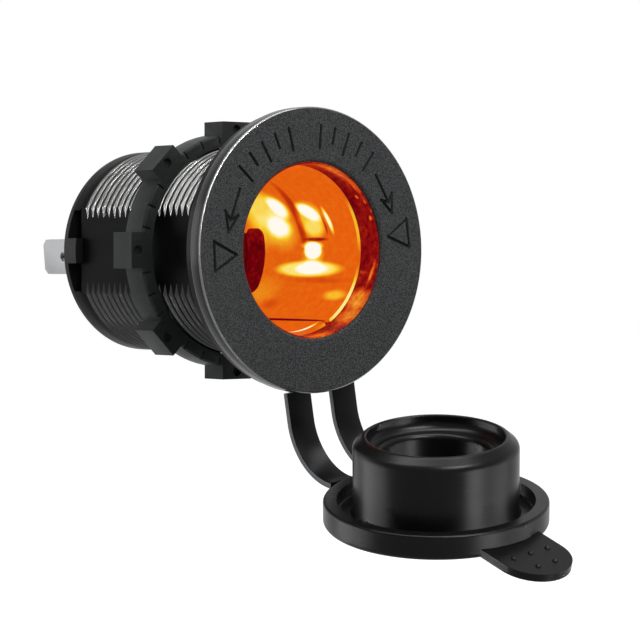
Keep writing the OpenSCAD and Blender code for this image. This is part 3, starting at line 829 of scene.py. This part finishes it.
def makeFloor():
    bm = bmesh.new()
    bmesh.ops.create_grid(bm, x_segments=1, y_segments=1, size=studio["floorSize"] / 2 * mm)
    bmesh.ops.translate(bm, verts=bm.verts, vec=(0, 0, studio["floorZ"] * mm))
    material, tree, shader, place = newMaterial("floor")
    shader.inputs["Base Color"].default_value = toLinear(studio["floorTone"])
    shader.inputs["Roughness"].default_value = 0.9
    glow = addNode(tree, "ShaderNodeMath", {"operation": "MULTIPLY"}, {
        0: seenFactor(tree), 1: studio["floorGlow"]})
    shader.inputs["Emission Color"].default_value = (1, 1, 1, 1)
    tree.links.new(glow.outputs[0], shader.inputs["Emission Strength"])
    linkPiece(bm, "floor", [material])


# Each lamp: where it shines from, which way its long side runs, its sides in degrees as
# seen from the socket, and its radiance. The strips only show as shine on glossy edges.
lamps = {
    "key": {"from": (-0.1, -0.77, 0.635), "along": (1, 0, 0), "spread": (40, 30), "radiance": 4.9},
    "right": {"from": (0.9, -0.38, 0.05), "along": (0, 0, 1), "spread": (34, 30), "radiance": 1.2},
    "top": {"from": (0.05, -0.1, 1), "along": (1, 0, 0), "spread": (50, 16), "radiance": 5.0},
    "back left": {
        "from": (-0.56, 0.83, -0.03), "along": (0, 0, 1),
        "spread": (44, 30), "radiance": 2.0},
}
# Strips by the piece that they shine on. The ones marked through pass the flange and the
# floor, which would hide the thread and the plug from them.
strips = {
    "housing_marked": {
        "thread": {
            "from": (-0.33, -0.645, 0.69), "along": (0.743, 0.358, 0.565),
            "spread": (66, 20), "radiance": 19, "through": True},
        "face left": {
            "from": (-0.78, -0.62, 0.02), "along": (0, 0, 1),
            "spread": (40, 5), "radiance": 9},
        "rim up": {
            "from": (-0.452, -0.517, 0.725), "along": (0.396, 0.138, 0.354),
            "spread": (34, 6), "radiance": 6},
        "rim top": {
            "from": (0.182, -0.264, 0.947), "along": (0.6, 0.2, 0),
            "spread": (40, 6), "radiance": 6},
        "rim low": {
            "from": (-0.452, -0.517, -0.725), "along": (0.396, 0.138, -0.354),
            "spread": (34, 6), "radiance": 2, "through": True},
    },
    "cap": {
        "lip": {
            "from": (-0.22, -0.1, 0.95), "along": (0.94, -0.55, -0.06),
            "spread": (64, 12), "radiance": 26},
        "lip right": {
            "from": (-0.11, -0.74, 0.66), "along": (1, 0, 0),
            "spread": (26, 16), "radiance": 40},
        "plug left": {
            "from": (-0.62, 0.72, -0.31), "along": (0, 0, 1),
            "spread": (34, 42), "radiance": 6.2, "through": True},
        "plug right": {
            "from": (0.27, -0.86, -0.43), "along": (0, 0, 1),
            "spread": (32, 20), "radiance": 15, "through": True},
        "plug far right": {
            "from": (0.74, -0.6, -0.35), "along": (0, 0, 1),
            "spread": (24, 40), "radiance": 4.5, "through": True},
    },
    "strap": {
        "bend": {
            "from": (0.62, -0.27, 0.73), "along": (1, 0, 0),
            "spread": (26, 20), "radiance": 8},
    },
}


def makeLamp(name, look, pieces=None):
    distance = studio["lampDistance"] * mm
    data = bpy.data.lights.new(name, "AREA")
    data.shape = "RECTANGLE"
    data.size, data.size_y = (
        2 * distance * math.tan(math.radians(side / 2)) for side in look["spread"])
    data.energy = look["radiance"] * math.pi * data.size * data.size_y
    data.use_shadow = not look.get("through")
    data.cycles.use_multiple_importance_sampling = not look.get("through")
    lamp = bpy.data.objects.new(name, data)
    bpy.context.scene.collection.objects.link(lamp)
    lamp.visible_camera = False
    if pieces:
        lamp.visible_diffuse = False
        lamp.light_linking.receiver_collection = pieces
    back = Vector(look["from"]).normalized()
    along = Vector(look["along"])
    along = (along - along.dot(back) * back).normalized()
    lamp.matrix_world = Matrix.Translation(back * distance) @ Matrix(
        (along, back.cross(along), back)).transposed().to_4x4()


for name, look in lamps.items():
    makeLamp(name, look)
for start, group in strips.items():
    pieces = bpy.data.collections.new(f"{start} shine")
    for piece in list(bpy.context.scene.objects):
        if piece.type == "MESH" and piece.name.startswith(start) and not piece.hide_render:
            pieces.objects.link(piece)
    for name, look in group.items():
        makeLamp(name, look, pieces)
makeSurround()
makeFloor()
bpy.context.scene.view_settings.view_transform = "Standard"
print("studio made")
